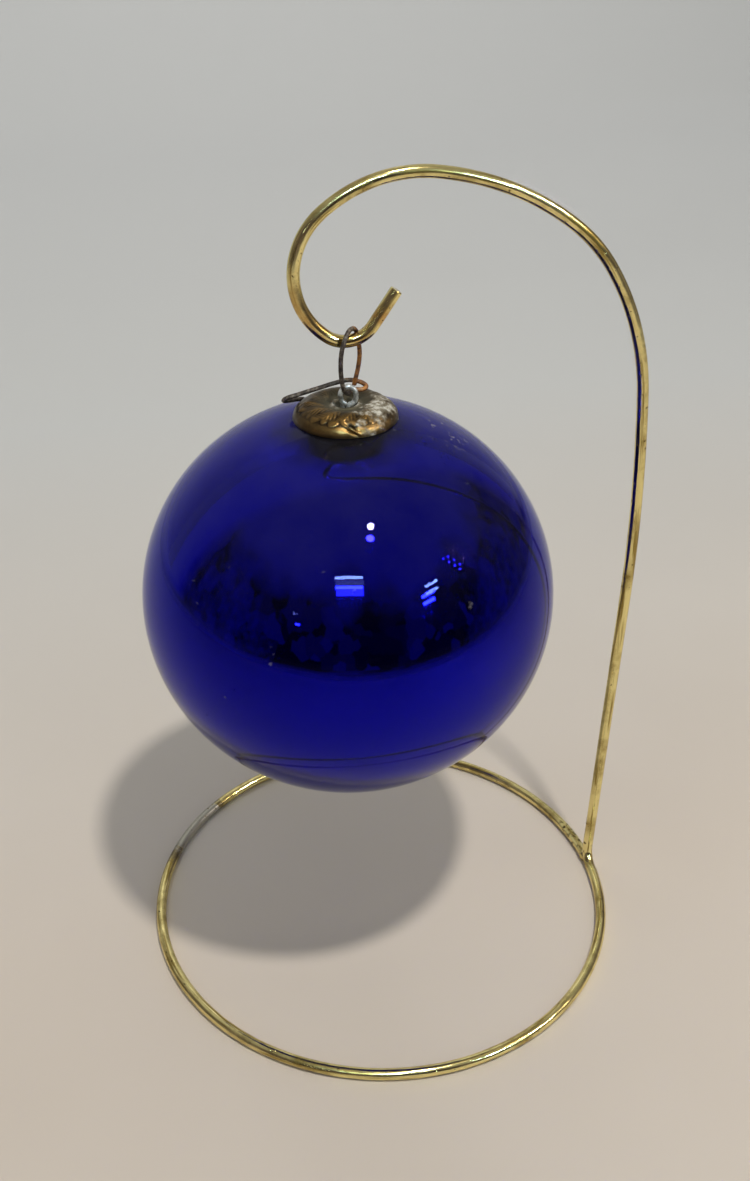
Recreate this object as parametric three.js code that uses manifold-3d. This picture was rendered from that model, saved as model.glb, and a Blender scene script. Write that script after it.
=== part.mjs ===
// A hanging glass ball ornament on its wire display stand.
// Millimetres, +Z up. The origin is the centre of the stand's base ring, on the surface that it stands on.
// The upright rises at +X, and the hook bends back over the ring in the X-Z plane.

import * as THREE from 'three';
import { mergeVertices } from 'three/addons/utils/BufferGeometryUtils.js';
import Module from 'manifold-3d';

const wasm = await Module();
wasm.setup();

const degrees = (angle) => THREE.MathUtils.degToRad(angle);

// Stand: one length of round wire, its ring 127 mm across between wire centres
const WIRE_DIAMETER = 2.9;
const WIRE_SIDES = 12;
const RING_RADIUS = 63.5;
const RING_SEGMENTS = 60;
const FOOT_BEND_RADIUS = 4.5;
const FOOT_BEND_STEPS = 6;
const UPRIGHT_LENGTH = 93.1;
const UPRIGHT_LEAN = degrees(1.1);
const HOOK_BENDS = [
  { radius: 490, turn: degrees(6.7), steps: 2 },
  { radius: 70, turn: degrees(27.8), steps: 4 },
  { radius: 42, turn: degrees(18.8), steps: 3 },
  { radius: 67.5, turn: degrees(30.6), steps: 4 },
  { radius: 32.5, turn: degrees(47.5), steps: 6 },
  { radius: 17.2, turn: degrees(104.7), steps: 11 },
  { radius: 7.4, turn: degrees(91), steps: 9 },
];
const HOOK_TIP = 9.3;

// Weld bead where the ring's free end meets the foot, clear of the surface underneath
const WELD_RADIUS = 1.7;
const WELD_CENTRE = new THREE.Vector3(63.35, 0.7, 1.85);

// Glass ball: blown a little flat, with a small opening at its crown
const BALL_RADIUS = 50.5;
const BALL_HALF_HEIGHT = 48.6;
const GLASS_THICKNESS = 2.5;
const CROWN_OPENING_RADIUS = 4.5;
const BALL_CENTRE = new THREE.Vector3(-9.5, 0, 105.7);
const BALL_TURN = degrees(-0.7);

// Cap: a pressed disc with a dished centre, a raised shoulder and a steep side
const CAP_RADIUS = 12.2;
const CAP_CREST_RADIUS = 7.2;
const CAP_CREST_HEIGHT = 3.9;
const CAP_DISH_HEIGHT = 2.5;
const CAP_THICKNESS = 0.5;
const CAP_HOLE_RADIUS = 1.9;
const CAP_STEPS = 9;

// Loop: a wire eye that stands in the cap's dish, its two legs spread under the glass
const LOOP_WIRE = 1.2;
const LOOP_RADIUS = 1.8;
const LOOP_RISE = 2.9;
const LOOP_LEAN = 0.45;
const LOOP_OFFSET = 0.25;
const LOOP_TURN = degrees(-13);
const LOOP_NECK = degrees(40);
const LOOP_STEPS = 20;
const LEG_SPACING = 1.5;
const LEG_BEND = 2;
const LEG_BEND_STEPS = 5;
const LEG_REACH = 8.5;

// Hanger: a long thin wire that runs through the loop and over the hook
const HANGER_WIRE = 1.05;
const HANGER_STEPS = 72;
const THIN_WIRE_SIDES = 8;

// Clearance between neighbouring pieces, and the number of flats around the ball and the cap
const GAP = 0.3;
const ROUND_SEGMENTS = 44;

// Materials, one for each finish
const finish = (name, color, roughness, metalness) => (
  new THREE.MeshStandardMaterial({ name, color, roughness, metalness })
);
const brass = finish('brass_wire', 0xc9b24a, 0.25, 1);
const blueGlass = finish('blue_glass', 0x1414a0, 0.06, 0.5);
const agedBrass = finish('aged_brass', 0x7a5a26, 0.55, 0.8);
const dullZinc = finish('dull_zinc', 0x8c9290, 0.5, 0.8);
const rustyWire = finish('rusty_wire', 0x5d4633, 0.75, 0.4);

// Turns a closed geometry into a solid that can be joined to others.
function solidOf(geometry) {
  const bare = geometry.clone();
  bare.deleteAttribute('normal');
  bare.deleteAttribute('uv');
  const merged = mergeVertices(bare);
  const vertProperties = new Float32Array(merged.attributes.position.array);
  const triVerts = new Uint32Array(merged.index.array);
  return new wasm.Manifold(new wasm.Mesh({ numProp: 3, vertProperties, triVerts }));
}

function geometryOf(solid) {
  const { vertProperties, triVerts } = solid.getMesh();
  const geometry = new THREE.BufferGeometry();
  geometry.setAttribute('position', new THREE.BufferAttribute(new Float32Array(vertProperties), 3));
  geometry.setIndex(new THREE.BufferAttribute(new Uint32Array(triVerts), 1));
  geometry.computeVertexNormals();
  return geometry;
}

// A route through given stations with one step between neighbours, so a straight length costs one step.
class StationRoute extends THREE.Curve {
  constructor(stations) {
    super();
    this.stations = stations;
  }

  getPointAt(u) {
    return this.stations[Math.round(u * (this.stations.length - 1))].clone();
  }

  getTangentAt(u) {
    const here = Math.round(u * (this.stations.length - 1));
    const before = this.stations[Math.max(here - 1, 0)];
    const after = this.stations[Math.min(here + 1, this.stations.length - 1)];
    const arriving = this.stations[here].clone().sub(before).normalize();
    const leaving = after.clone().sub(this.stations[here]).normalize();
    return arriving.add(leaving).normalize();
  }
}

// A round wire of the given diameter along its stations.
function wireAlong(stations, diameter, sides) {
  const section = new THREE.Shape();
  section.absarc(0, 0, diameter / 2, 0, Math.PI * 2);
  const extrudePath = new StationRoute(stations);
  const steps = stations.length - 1;
  return new THREE.ExtrudeGeometry(section, { extrudePath, steps, curveSegments: sides / 2 });
}

// Follows a flat line from a start and a heading through bends that all turn left, then a straight tip.
function bentLine(start, heading, straight, bends, tip) {
  const line = [start.clone()];
  const ahead = (angle) => new THREE.Vector2(Math.cos(angle), Math.sin(angle));
  const corner = start.clone().addScaledVector(ahead(heading), straight);
  line.push(corner.clone());
  let facing = heading;
  for (const { radius, turn, steps } of bends) {
    const centre = line.at(-1).clone().addScaledVector(ahead(facing + Math.PI / 2), radius);
    for (let step = 1; step <= steps; step += 1) {
      const outward = facing + (turn * step) / steps - Math.PI / 2;
      line.push(centre.clone().addScaledVector(ahead(outward), radius));
    }
    facing += turn;
  }
  line.push(line.at(-1).clone().addScaledVector(ahead(facing), tip));
  return line;
}

// The base ring's section has one of its flats underneath, on which the stand rests.
function baseRing() {
  const half = Math.PI / WIRE_SIDES;
  const corner = WIRE_DIAMETER / 2 / Math.cos(half);
  const profile = [];
  for (let side = 0; side <= WIRE_SIDES; side += 1) {
    const angle = half + (2 * Math.PI * side) / WIRE_SIDES;
    profile.push(new THREE.Vector2(
      RING_RADIUS + corner * Math.cos(angle),
      WIRE_DIAMETER / 2 + corner * Math.sin(angle),
    ));
  }
  return new THREE.LatheGeometry(profile, RING_SEGMENTS).rotateX(Math.PI / 2);
}

// The wire leaves the ring's front arc, turns up at the foot, rises, and curls over into the hook.
function uprightStations() {
  const lead = FOOT_BEND_RADIUS / RING_RADIUS;
  const along = new THREE.Vector3(Math.sin(lead), Math.cos(lead), 0);
  const rise = new THREE.Vector3(Math.sin(UPRIGHT_LEAN), 0, Math.cos(UPRIGHT_LEAN));
  const start = new THREE.Vector3(
    RING_RADIUS * Math.cos(lead),
    -RING_RADIUS * Math.sin(lead),
    WIRE_DIAMETER / 2,
  );
  const stations = [];
  for (let step = 0; step <= FOOT_BEND_STEPS; step += 1) {
    const angle = (Math.PI / 2) * (step / FOOT_BEND_STEPS);
    stations.push(start.clone()
      .addScaledVector(along, FOOT_BEND_RADIUS * Math.sin(angle))
      .addScaledVector(rise, FOOT_BEND_RADIUS * (1 - Math.cos(angle))));
  }
  const top = stations.at(-1);
  const remaining = UPRIGHT_LENGTH - FOOT_BEND_RADIUS;
  const line = bentLine(
    new THREE.Vector2(top.x, top.z), Math.PI / 2 - UPRIGHT_LEAN, remaining, HOOK_BENDS, HOOK_TIP,
  );
  for (const point of line.slice(1)) {
    stations.push(new THREE.Vector3(point.x, top.y, point.y));
  }
  return stations;
}

function weldBead() {
  const bead = new THREE.SphereGeometry(WELD_RADIUS, 12, 8);
  return bead.translate(WELD_CENTRE.x, WELD_CENTRE.y, WELD_CENTRE.z);
}

// The ring, the upright and the bead are one piece of metal.
function standGeometry() {
  const upright = solidOf(wireAlong(uprightStations(), WIRE_DIAMETER, WIRE_SIDES));
  return geometryOf(solidOf(baseRing()).add(upright).add(solidOf(weldBead())));
}

// The shell's profile runs from the bottom up the outside to the crown opening and down the inside again.
function ballGeometry() {
  const outerSteps = 22;
  const innerSteps = 12;
  const crownAngle = (radius) => Math.acos(CROWN_OPENING_RADIUS / radius);
  const arc = (radius, halfHeight, steps) => Array.from({ length: steps + 1 }, (_, step) => {
    const angle = -Math.PI / 2 + ((crownAngle(radius) + Math.PI / 2) * step) / steps;
    const reach = step === 0 ? 0 : radius * Math.cos(angle);
    return new THREE.Vector2(reach, halfHeight * Math.sin(angle));
  });
  const outside = arc(BALL_RADIUS, BALL_HALF_HEIGHT, outerSteps);
  const inside = arc(BALL_RADIUS - GLASS_THICKNESS, BALL_HALF_HEIGHT - GLASS_THICKNESS, innerSteps);
  return new THREE.LatheGeometry([...outside, ...inside.reverse()], ROUND_SEGMENTS).rotateX(Math.PI / 2);
}

// Height of the glass above the ball's centre at a distance from its axis.
const glassHeight = (reach) => BALL_HALF_HEIGHT * Math.sqrt(1 - (reach / BALL_RADIUS) ** 2);

// The cap's outside, from its hole over the dish, the crest, the shoulder and the side, down to the rim.
function capOutside() {
  return new THREE.SplineCurve([
    new THREE.Vector2(CAP_HOLE_RADIUS, CAP_DISH_HEIGHT),
    new THREE.Vector2(0.3 * CAP_RADIUS, 0.75 * CAP_CREST_HEIGHT),
    new THREE.Vector2(CAP_CREST_RADIUS, CAP_CREST_HEIGHT),
    new THREE.Vector2(0.8 * CAP_RADIUS, 0.77 * CAP_CREST_HEIGHT),
    new THREE.Vector2(0.95 * CAP_RADIUS, 0.4 * CAP_CREST_HEIGHT),
    new THREE.Vector2(CAP_RADIUS, 0),
  ]);
}

function capGeometry() {
  const curve = capOutside();
  const outside = curve.getSpacedPoints(CAP_STEPS);
  const inside = outside.map((point, step) => {
    const tangent = curve.getTangentAt(step / CAP_STEPS);
    return new THREE.Vector2(point.x + tangent.y * CAP_THICKNESS, point.y - tangent.x * CAP_THICKNESS);
  });
  inside[0].x = CAP_HOLE_RADIUS;
  inside[CAP_STEPS].y = 0;
  const profile = [...outside, ...inside.reverse(), outside[0]];
  return new THREE.LatheGeometry(profile.reverse(), ROUND_SEGMENTS).rotateX(Math.PI / 2);
}

// The eye and its two legs in their own X-Z plane, from one leg's end over the eye to the other's.
function loopStations() {
  const half = LEG_SPACING / 2;
  const dish = glassHeight(CAP_RADIUS) + GAP + CAP_DISH_HEIGHT;
  const legHeight = (reach) => glassHeight(reach) - GLASS_THICKNESS - LOOP_WIRE / 2 - 2 * GAP;
  const leg = [new THREE.Vector2(LEG_REACH, legHeight(LEG_REACH))];
  for (let step = 0; step <= LEG_BEND_STEPS; step += 1) {
    const angle = (Math.PI / 2) * (step / LEG_BEND_STEPS);
    leg.push(new THREE.Vector2(
      half + LEG_BEND * (1 - Math.sin(angle)),
      legHeight(half + LEG_BEND) + LEG_BEND * (1 - Math.cos(angle)),
    ));
  }
  leg.push(new THREE.Vector2(half, dish + GAP));
  const eye = [];
  for (let step = 0; step <= LOOP_STEPS; step += 1) {
    const angle = LOOP_NECK - Math.PI / 2 + (2 * (Math.PI - LOOP_NECK) * step) / LOOP_STEPS;
    eye.push(new THREE.Vector2(
      LOOP_LEAN + LOOP_RADIUS * Math.cos(angle),
      dish + LOOP_RISE + LOOP_RADIUS * Math.sin(angle),
    ));
  }
  const otherLeg = leg.map((point) => new THREE.Vector2(-point.x, point.y)).reverse();
  return [...leg, ...eye, ...otherLeg].map((point) => new THREE.Vector3(point.x, 0, point.y));
}

// The hanger's route. It starts behind the cap's left side, turns back in a hairpin, runs over the cap,
// through the loop from behind, up in front of the hook and over it, and ends low behind the loop.
const HANGER_ROUTE = [
  [-18, 10.2, 153.8],
  [-20.1, 8.2, 154.7],
  [-22, 6.4, 155.4],
  [-23.4, 5.4, 155.9],
  [-22.9, 4.7, 156.7],
  [-20.3, 4.2, 157.6],
  [-15.7, 3.8, 158.9],
  [-11.5, 3.8, 159.9],
  [-8.4, 3.8, 160.3],
  [-6.6, 3.5, 160],
  [-5.2, 2.7, 159.6],
  [-4.8, 2, 159.1],
  [-5.7, 1.6, 158.7],
  [-7.2, 1.6, 158.7],
  [-8.6, 1.2, 158.5],
  [-9.5, -0.2, 158.7],
  [-10.5, -1.4, 159.8],
  [-11, -1.9, 161],
  [-11.5, -2.3, 163.5],
  [-11.7, -2.6, 166.5],
  [-11.5, -2.7, 169.6],
  [-10.9, -2.6, 172],
  [-10, -1.8, 173.5],
  [-8.8, -0.1, 173.9],
  [-7.4, 1.7, 173],
  [-6.6, 2.6, 170.4],
  [-6.2, 2.7, 167.3],
  [-6.5, 2.7, 163.9],
  [-7.1, 2.4, 161.5],
  [-7.5, 2.5, 159.6],
];

function hangerStations() {
  const corners = HANGER_ROUTE.map(([x, y, z]) => new THREE.Vector3(x, y, z));
  return new THREE.CatmullRomCurve3(corners, false, 'centripetal').getSpacedPoints(HANGER_STEPS);
}

function named(name, geometry, material) {
  const mesh = new THREE.Mesh(geometry, material);
  mesh.name = name;
  return mesh;
}

// The ball hangs turned by about a degree, and its cap and loop turn with it.
function ballGroup() {
  const group = new THREE.Group();
  group.position.copy(BALL_CENTRE);
  group.rotation.y = BALL_TURN;
  group.add(named('glass_ball', ballGeometry(), blueGlass));
  const cap = named('cap', capGeometry(), agedBrass);
  cap.position.z = glassHeight(CAP_RADIUS) + GAP;
  group.add(cap);
  const loop = named('cap_loop', wireAlong(loopStations(), LOOP_WIRE, THIN_WIRE_SIDES), dullZinc);
  loop.position.x = LOOP_OFFSET;
  loop.rotation.z = LOOP_TURN;
  group.add(loop);
  return group;
}

const ornament = new THREE.Group();
ornament.add(named('stand', standGeometry(), brass));
ornament.add(ballGroup());
ornament.add(named('hanger', wireAlong(hangerStations(), HANGER_WIRE, THIN_WIRE_SIDES), rustyWire));

export default ornament;
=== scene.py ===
# %% [markdown]
# # A blue glass ball on a brass wire stand
# The object has five pieces: a stand bent from one length of wire, a thick blown glass ball, a pressed
# cap, a wire loop in the cap, and a hand-bent hanger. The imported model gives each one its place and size.
# Here every piece is modelled again with a fine surface, finished like the real material, and lit softly.

# %% Load the frame
import math

import bpy
from mathutils import Matrix, Vector, noise
from mathutils.kdtree import KDTree


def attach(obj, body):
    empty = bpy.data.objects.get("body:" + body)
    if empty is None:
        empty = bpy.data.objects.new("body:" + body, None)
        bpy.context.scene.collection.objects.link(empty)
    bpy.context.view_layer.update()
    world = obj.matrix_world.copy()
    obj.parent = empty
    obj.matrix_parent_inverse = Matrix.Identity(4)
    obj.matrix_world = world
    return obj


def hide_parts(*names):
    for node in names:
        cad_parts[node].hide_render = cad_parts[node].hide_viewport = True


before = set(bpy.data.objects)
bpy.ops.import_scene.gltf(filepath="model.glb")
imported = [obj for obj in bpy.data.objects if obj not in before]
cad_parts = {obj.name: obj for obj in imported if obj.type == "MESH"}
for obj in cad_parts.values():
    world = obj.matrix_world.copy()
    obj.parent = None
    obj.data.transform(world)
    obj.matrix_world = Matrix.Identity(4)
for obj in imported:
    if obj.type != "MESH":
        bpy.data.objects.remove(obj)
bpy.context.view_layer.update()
MM = 0.001

# %% [markdown]
# ## Camera
# The photograph looks down at the ball by about 32 degrees, from a little to the left. The camera's place
# and turn were worked out from the base ring, which is a true circle lying flat, and from the ball's
# outline.

# %% Camera
PHOTO_SIZE = (750, 1181)
FOCAL_PIXELS = 1300
SENSOR = 36.0
CAMERA_PLACE = Vector((-68.18, -267.99, 276.25)) * MM
CAMERA_RIGHT = Vector((0.97264, -0.23218, 0.00842))
CAMERA_UP = Vector((0.11545, 0.51442, 0.84973))

bpy.ops.object.camera_add(location=CAMERA_PLACE)
camera = bpy.context.object
turn = Matrix((CAMERA_RIGHT, CAMERA_UP, CAMERA_RIGHT.cross(CAMERA_UP))).transposed()
camera.rotation_euler = turn.to_euler()
camera.data.sensor_width = SENSOR
camera.data.lens = SENSOR * FOCAL_PIXELS / max(PHOTO_SIZE)
camera.data.clip_start = 0.01
bpy.context.scene.camera = camera
print("lens in mm:", round(camera.data.lens, 2))

# %% [markdown]
# ## Helpers for modelling
# Three short helpers are used by every piece. One starts a piece with nothing else selected, one ends it
# with smooth shading and its origin at the world's, and one fixes which way the faces look.

# %% Start and end a piece
def deselect():
    if bpy.context.mode != "OBJECT":
        bpy.ops.object.mode_set(mode="OBJECT")
    bpy.ops.object.select_all(action="DESELECT")


def apply_place(piece):
    deselect()
    piece.select_set(True)
    bpy.context.view_layer.objects.active = piece
    bpy.ops.object.transform_apply(location=True, rotation=True, scale=True)


def clean_mesh(piece, doubles=0.000001):
    apply_place(piece)
    bpy.ops.object.mode_set(mode="EDIT")
    bpy.ops.mesh.select_all(action="SELECT")
    bpy.ops.mesh.remove_doubles(threshold=doubles)
    bpy.ops.mesh.normals_make_consistent(inside=False)
    bpy.ops.object.mode_set(mode="OBJECT")
    bpy.ops.object.shade_smooth_by_angle(angle=math.radians(40))


def apply_modifier(piece, kind, **settings):
    modifier = piece.modifiers.new(kind.title(), kind)
    for name, value in settings.items():
        setattr(modifier, name, value)
    bpy.context.view_layer.objects.active = piece
    bpy.ops.object.modifier_apply(modifier=modifier.name)


# %% [markdown]
# ## Helpers for materials
# A colour is written as the hex value that a paint program shows, and one function turns it to the linear
# numbers that Blender's sockets hold. Another adds a node with its settings, its values and its links.

# %% Colours and nodes
def colour(text):
    channels = [int(text[place:place + 2], 16) / 255 for place in (1, 3, 5)]
    linear = [c / 12.92 if c <= 0.04045 else ((c + 0.055) / 1.055) ** 2.4 for c in channels]
    return (*linear, 1.0)


def add(tree, kind, inputs=None, stops=(), **settings):
    """Add a node. stops are the places and shades along a colour ramp."""
    node = tree.nodes.new(kind)
    for name, value in settings.items():
        setattr(node, name, value)
    for name, value in (inputs or {}).items():
        if isinstance(value, bpy.types.NodeSocket):
            tree.links.new(value, node.inputs[name])
        else:
            node.inputs[name].default_value = value
    for index, (place, shade) in enumerate(stops):
        elements = node.color_ramp.elements
        stop = elements[index] if index < 2 else elements.new(1.0)
        stop.position = place
        stop.color = colour(shade) if isinstance(shade, str) else (shade, shade, shade, 1)
    return node


def new_material(name):
    material = bpy.data.materials.new(name)
    material.use_nodes = True
    material.node_tree.nodes.clear()
    return material, material.node_tree


# %% [markdown]
# ## The stand's wire
# The stand is one length of 2.9 mm wire. A maker bends it round formers: once round for the base ring,
# a tight bend up at the foot, a long straight, and then ever tighter bends into the hook. The same can be
# done here: the wire's round section is spun about each bend's centre, and extruded for each straight.
# That keeps the section round everywhere, which a bevelled curve doesn't do at its joints.

# %% Bending a wire
WIRE_SIDES = 28
BEND_STEP = 1.3 * MM


class WireBender:
    """A wire that grows from its free end. It keeps where its end is and which way it points."""

    def __init__(self, name, diameter, start, heading):
        deselect()
        self.place, self.heading, self.route = start.copy(), heading.normalized(), []
        facing = self.heading.to_track_quat("Z", "Y").to_euler()
        bpy.ops.mesh.primitive_circle_add(
            vertices=WIRE_SIDES, radius=diameter / 2, fill_type="NOTHING", location=start, rotation=facing)
        self.piece = bpy.context.object
        self.piece.name = self.piece.data.name = name
        apply_place(self.piece)
        bpy.ops.object.mode_set(mode="EDIT")
        bpy.ops.mesh.select_all(action="SELECT")
        bpy.ops.mesh.edge_face_add()
        bpy.ops.mesh.select_mode(type="EDGE")
        bpy.ops.mesh.delete(type="ONLY_FACE")
        bpy.ops.mesh.select_all(action="SELECT")
        self.mark()

    def mark(self):
        self.route.append((self.place.copy(), self.heading.copy()))

    def straight(self, length, pieces=1):
        for _ in range(pieces):
            step = self.heading * length / pieces
            bpy.ops.mesh.extrude_region_move(TRANSFORM_OT_translate={"value": step})
            self.place += step
            self.mark()

    def bend(self, radius, angle, axis):
        centre = self.place + axis.cross(self.heading) * radius
        count = max(2, math.ceil(radius * angle / BEND_STEP), math.ceil(angle / math.radians(5)))
        bpy.ops.mesh.spin(steps=count, angle=angle, center=centre, axis=-axis)
        step = Matrix.Rotation(angle / count, 3, axis)
        for _ in range(count):
            self.place = centre + step @ (self.place - centre)
            self.heading = step @ self.heading
            self.mark()

    def taper(self, length, share):
        self.straight(length)
        bpy.ops.transform.resize(value=(share,) * 3, center_override=self.place)

    def close(self):
        bpy.ops.mesh.edge_face_add()
        bpy.ops.mesh.select_all(action="DESELECT")
        bpy.ops.mesh.select_non_manifold()
        bpy.ops.mesh.edge_face_add()
        clean_mesh(self.piece)
        return self.piece


# %% [markdown]
# ## The straightened wire
# Drawing marks, tarnish and rust run along a wire, so its patterns are drawn on the wire as if it were
# straight. Each point stores how far along it is and where it is round the wire, in metres.

# %% Mark a wire's points along its length
def mark_along(piece, route):
    lengths, side = [0.0], [route[0][1].orthogonal().normalized()]
    tree = KDTree(len(route))
    for index, (place, heading) in enumerate(route):
        tree.insert(place, index)
        if index:
            lengths.append(lengths[-1] + (place - route[index - 1][0]).length)
            side.append((side[-1] - side[-1].dot(heading) * heading).normalized())
    tree.balance()
    stored = piece.data.attributes.new("straightened", "FLOAT_VECTOR", "POINT")
    for vertex in piece.data.vertices:
        _, index, _ = tree.find(vertex.co)
        place, heading = route[index]
        out = vertex.co - place
        across = side[index]
        stored.data[vertex.index].vector = (
            lengths[index] + out.dot(heading), out.dot(across), out.dot(heading.cross(across)))
    return lengths[-1]


# %% Stand
WIRE = 2.9 * MM
RING = 63.5 * MM
FOOT_BEND = 4.5 * MM
UPRIGHT = 93.1 * MM
LEAN = math.radians(1.1)
HOOK_BENDS = ((490, 6.7), (70, 27.8), (42, 18.8), (67.5, 30.6), (32.5, 47.5), (17.2, 104.7), (7.4, 91))
HOOK_TIP = 9.3 * MM
FREE_END = math.radians(-0.4)
UP, AWAY = Vector((0, 0, 1)), Vector((0, 1, 0))

lead = FOOT_BEND / RING
ring_start = Vector((RING * math.cos(FREE_END), RING * math.sin(FREE_END), WIRE / 2))
ring_heading = Vector((-math.sin(FREE_END), math.cos(FREE_END), 0))
bender = WireBender("stand_wire", WIRE, ring_start, ring_heading)
bender.bend(RING, 2 * math.pi - lead - FREE_END, UP)
rise = Vector((math.sin(LEAN), 0, math.cos(LEAN)))
bender.bend(FOOT_BEND, math.pi / 2, bender.heading.cross(rise).normalized())
bender.heading = rise.copy()
bender.straight(UPRIGHT - FOOT_BEND, pieces=24)
for radius, angle in HOOK_BENDS:
    bender.bend(radius * MM, math.radians(angle), -AWAY)
bender.straight(HOOK_TIP - 0.2 * MM, pieces=4)
bender.taper(0.2 * MM, 0.88)
stand_route = bender.route
stand = bender.close()
print("hook's end, in mm:", [round(c / MM, 2) for c in bender.place])

# %% [markdown]
# The ring's free end is butted against the foot and closed with a small bead of weld. The bead is a ball
# that slumped while it was hot, so it is flattened and pulled along the wire, and joined by a union.

# %% Weld bead
WELD_RADIUS = 1.7 * MM
WELD_PLACE = Vector((63.35, 0.7, 1.85)) * MM

deselect()
bpy.ops.mesh.primitive_uv_sphere_add(segments=32, ring_count=20, radius=WELD_RADIUS, location=WELD_PLACE)
bead = bpy.context.object
bpy.ops.object.mode_set(mode="EDIT")
bpy.ops.mesh.select_all(action="SELECT")
bpy.ops.transform.resize(value=(0.96, 1.12, 0.94), center_override=WELD_PLACE)
bpy.ops.object.mode_set(mode="OBJECT")
apply_place(bead)
for vertex in bead.data.vertices:
    vertex.co += vertex.normal * 0.12 * MM * noise.noise(vertex.co / (1.1 * MM))
apply_modifier(stand, "BOOLEAN", operation="UNION", object=bead, solver="EXACT", use_self=True)
bpy.data.objects.remove(bead)
clean_mesh(stand)
wire_length = mark_along(stand, stand_route)
print("stand's wire is", round(wire_length / MM), "mm long;", len(stand.data.polygons), "faces")

# %% [markdown]
# ## The glass ball
# A heavy ball of this kind is blown thick, about 2.5 mm, and silvered on the inside. Light is reflected
# twice: weakly and white at the outside of the glass, and strongly and blue at the silver behind it. The
# two highlights sit apart because the glass is thick. So the ball is a real shell with two surfaces, turned
# as on a lathe: half an ellipse is spun about the axis, and Solidify gives the glass its thickness. Glass
# stays thicker near the pipe that it is blown on, so the hollow's upper half sits lower than the outside.

# %% Ball
BALL_RADIUS = 50.5 * MM
BALL_HALF_HEIGHT = 48.6 * MM
GLASS = 2.5 * MM
SHOULDER_EXTRA = 2.1 * MM
SHOULDER_INNER, SHOULDER_OUTER = 6 * MM, 12.5 * MM
SHOULDER_LOW, SHOULDER_HIGH = -20 * MM, 25 * MM
CROWN_OPENING = 4.5 * MM
BALL_CENTRE = Vector((-9.5, 0, 105.7)) * MM
BALL_TURN = math.radians(-0.7)
BALL_STEPS = 160
hung = Matrix.Translation(BALL_CENTRE) @ Matrix.Rotation(BALL_TURN, 4, "Y")


def glass_height(reach):
    return BALL_HALF_HEIGHT * math.sqrt(1 - (reach / BALL_RADIUS) ** 2)


def step_up(value, low, high):
    share = min(max((value - low) / (high - low), 0), 1)
    return share * share * (3 - 2 * share)


def shoulder_drop(reach):
    return SHOULDER_EXTRA * step_up(reach, SHOULDER_INNER, SHOULDER_OUTER)


deselect()
bpy.ops.mesh.primitive_circle_add(
    vertices=BALL_STEPS, radius=BALL_RADIUS, fill_type="NOTHING", rotation=(math.pi / 2, 0, 0))
ball = bpy.context.object
ball.name = ball.data.name = "blown_ball"
apply_place(ball)
bpy.ops.object.mode_set(mode="EDIT")
bpy.ops.mesh.select_all(action="SELECT")
flatten = (1, 1, BALL_HALF_HEIGHT / BALL_RADIUS)
bpy.ops.transform.resize(value=flatten, center_override=(0, 0, 0))
bpy.ops.mesh.bisect(plane_co=(0, 0, 0), plane_no=(1, 0, 0), clear_inner=True)
bpy.ops.mesh.select_all(action="SELECT")
bpy.ops.mesh.bisect(plane_co=(0, 0, glass_height(CROWN_OPENING)), plane_no=(0, 0, 1), clear_outer=True)
bpy.ops.mesh.select_all(action="SELECT")
bpy.ops.mesh.spin(steps=BALL_STEPS, angle=2 * math.pi, center=(0, 0, 0), axis=(0, 0, 1))
clean_mesh(ball, doubles=0.00001)
apply_modifier(ball, "SOLIDIFY", thickness=GLASS, offset=-1, material_offset=1, use_even_offset=True)
for vertex in ball.data.vertices:
    reach = math.hypot(vertex.co.x, vertex.co.y)
    if math.hypot(reach / BALL_RADIUS, vertex.co.z / BALL_HALF_HEIGHT) < 1 - 0.5 * GLASS / BALL_RADIUS:
        vertex.co.z -= step_up(vertex.co.z, SHOULDER_LOW, SHOULDER_HIGH) * shoulder_drop(reach)
ball.matrix_world = hung
apply_place(ball)
bpy.ops.object.shade_smooth_by_angle(angle=math.radians(40))
print("ball:", len(ball.data.polygons), "faces, centre", [round(c / MM, 1) for c in BALL_CENTRE])

# %% [markdown]
# ## The cap
# The cap is pressed from thin brass sheet. Its middle is dished round the loop's hole, a rounded crest
# surrounds the dish, and the side falls steeply to the rim. It is modelled from the rim inwards: a circle
# is extruded and scaled in, ring by ring, along the cap's outline.

# %% Cap's outline
CAP_RADIUS = 12.2 * MM
CAP_CREST_RADIUS = 7.2 * MM
CAP_CREST_HEIGHT = 3.9 * MM
CAP_DISH_HEIGHT = 2.5 * MM
CAP_SHEET = 0.5 * MM
CAP_HOLE = 1.55 * MM
CAP_ROWS = 72
CAP_STEPS = 288
CAP_LIFT = glass_height(CAP_RADIUS) + 0.3 * MM
CAP_KNOTS = (
    (CAP_RADIUS, 0.0),
    (0.95 * CAP_RADIUS, 0.4 * CAP_CREST_HEIGHT),
    (0.8 * CAP_RADIUS, 0.77 * CAP_CREST_HEIGHT),
    (CAP_CREST_RADIUS, CAP_CREST_HEIGHT),
    (0.3 * CAP_RADIUS, 0.75 * CAP_CREST_HEIGHT),
    (CAP_HOLE, CAP_DISH_HEIGHT),
)


def spline(knots, share):
    """A point on a smooth curve through the knots, from share 0 at the first to 1 at the last."""
    reach = share * (len(knots) - 1)
    first = min(int(reach), len(knots) - 2)
    t = reach - first
    points = [Vector(knots[min(max(first + k, 0), len(knots) - 1)]) for k in (-1, 0, 1, 2)]
    pull_in, pull_out = (points[2] - points[0]) / 2, (points[3] - points[1]) / 2
    return ((2 * t ** 3 - 3 * t ** 2 + 1) * points[1] + (t ** 3 - 2 * t ** 2 + t) * pull_in
            + (3 * t ** 2 - 2 * t ** 3) * points[2] + (t ** 3 - t ** 2) * pull_out)


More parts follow.
